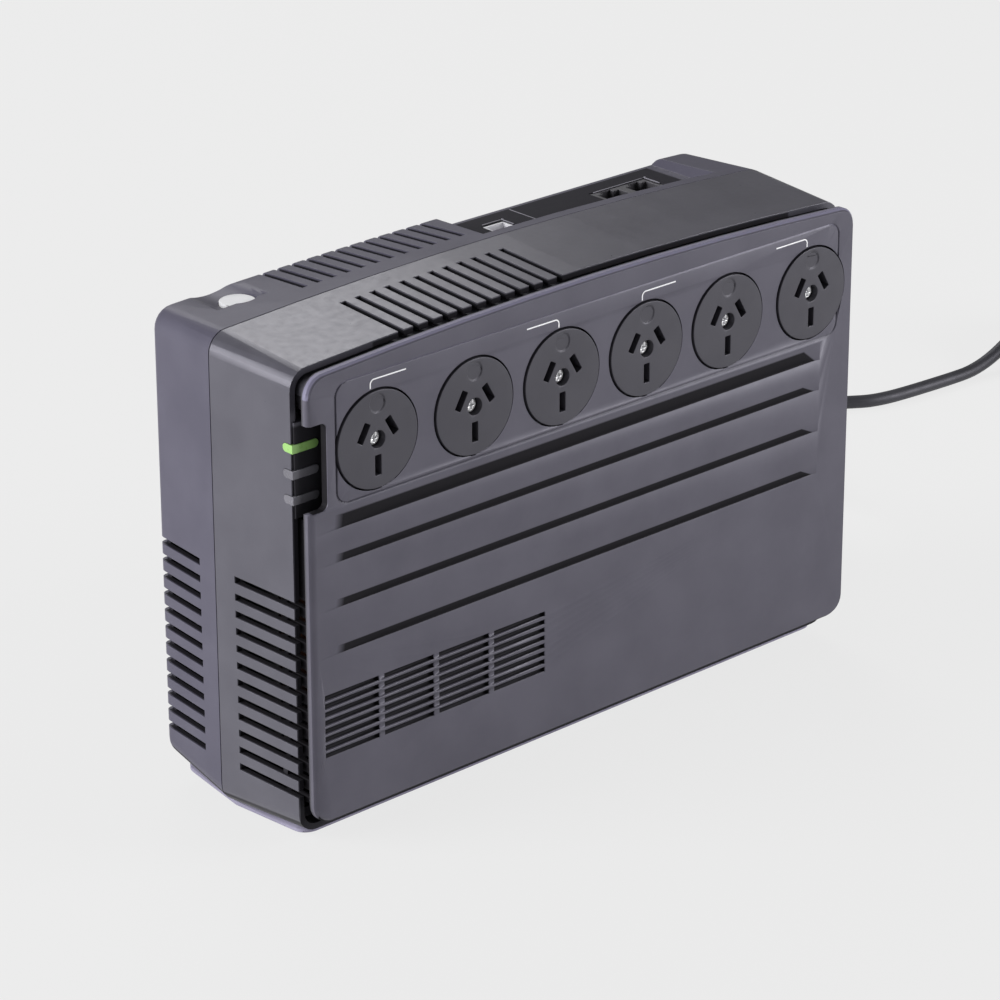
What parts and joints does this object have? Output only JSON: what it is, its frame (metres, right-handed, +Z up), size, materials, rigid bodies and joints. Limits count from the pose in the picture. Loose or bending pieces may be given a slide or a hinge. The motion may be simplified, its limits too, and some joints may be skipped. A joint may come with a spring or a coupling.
{
  "type": "uninterruptible power supply",
  "caption": "Slim desk or wall UPS: two-part vented case, panel with a row of mains outlets, top power button, data and phone ports, inner battery, transformer and boards, and a mains cord.",
  "frame": {"origin": "centre of the case's box, at the height of the feet's lower faces", "axes": "+X towards the end that the mains cord leaves, +Y from the outlet panel to the back, +Z up"},
  "size_m": [0.7054, 0.195, 0.2045],
  "materials": {
    "shell_front": "fine matt texture, charcoal",
    "shell_rear": "fine matt texture, charcoal",
    "panel": "satin moulded, charcoal",
    "pad": "grey soft pad",
    "foot": "soft black",
    "outlet": "satin black",
    "insulator": "plain moulded",
    "contact": "bright brass strip",
    "screw": "zinc-plated",
    "lens_green": "clear green",
    "lens_clear": "clear grey",
    "board": "green solder mask",
    "led": "clear",
    "button_white": "satin white",
    "spring": "drawn wire",
    "black_part": "plain moulded",
    "port_white": "off-white",
    "jack": "plain moulded",
    "cord": "black PVC sheath",
    "battery": "ABS, dark grey",
    "battery_top": "ABS, grey",
    "terminal": "tinned",
    "lead": "red insulation",
    "strap": "zinc-plated sheet",
    "core": "laminated steel, varnished",
    "coil": "taped winding",
    "sink": "plain extruded",
    "package": "moulded epoxy",
    "relay": "pale blue-grey",
    "capacitor": "blue sleeve",
    "ceramic": "ceramic",
    "wire": "brown insulation"
  },
  "bodies": {
    "case": {"front_shell": "shell_front", "rear_shell": "shell_rear", "front_panel": "panel", "base_pad": "pad", "feet": "foot", "outlet_face_1": "outlet", "outlet_face_2": "outlet", "outlet_face_3": "outlet", "outlet_face_4": "outlet", "outlet_face_5": "outlet", "outlet_face_6": "outlet", "outlet_screws": "screw", "outlet_tray": "insulator", "active_bar": "contact", "neutral_bar": "contact", "earth_bar": "contact", "tray_screws": "screw", "status_lens_1": "lens_green", "status_lens_2": "lens_clear", "status_lens_3": "lens_clear", "status_board": "board", "status_leds": "led", "button_spring": "spring", "button_guide": "insulator", "button_switch": "black_part", "comms_board": "board", "usb_port": "port_white", "phone_jacks": "jack", "breaker_body": "black_part", "breaker_nut": "black_part", "strain_relief": "cord", "mains_cord": "cord", "cord_coil": "cord", "plug_body": "cord", "plug_pins": "contact", "battery_case": "battery", "battery_lid": "battery_top", "battery_terminals": "terminal", "battery_leads": "lead", "battery_strap": "strap", "transformer_core": "core", "transformer_coil": "coil", "transformer_frame": "strap", "transformer_screws": "screw", "main_board": "board", "heat_sinks": "sink", "transistors": "package", "relays": "relay", "capacitors": "capacitor", "board_fuse": "ceramic", "buzzer": "package", "board_screws": "screw", "case_screws": "screw", "panel_screws": "screw", "power_wires": "wire"},
    "power_button": {"power_button": "button_white"},
    "breaker_button": {"breaker_button": "button_white"}
  },
  "joints": [
    {"name": "power_button_press", "type": "slide", "parent": "case", "child": "power_button", "axis": [0, 0, -1], "range_m": [0, 0.002], "stiffness_N_per_m": 400, "deforming": ["button_spring"]},
    {"name": "breaker_trip", "type": "slide", "parent": "case", "child": "breaker_button", "axis": [1, 0, 0], "range_m": [0, 0.0025]}
  ]
}
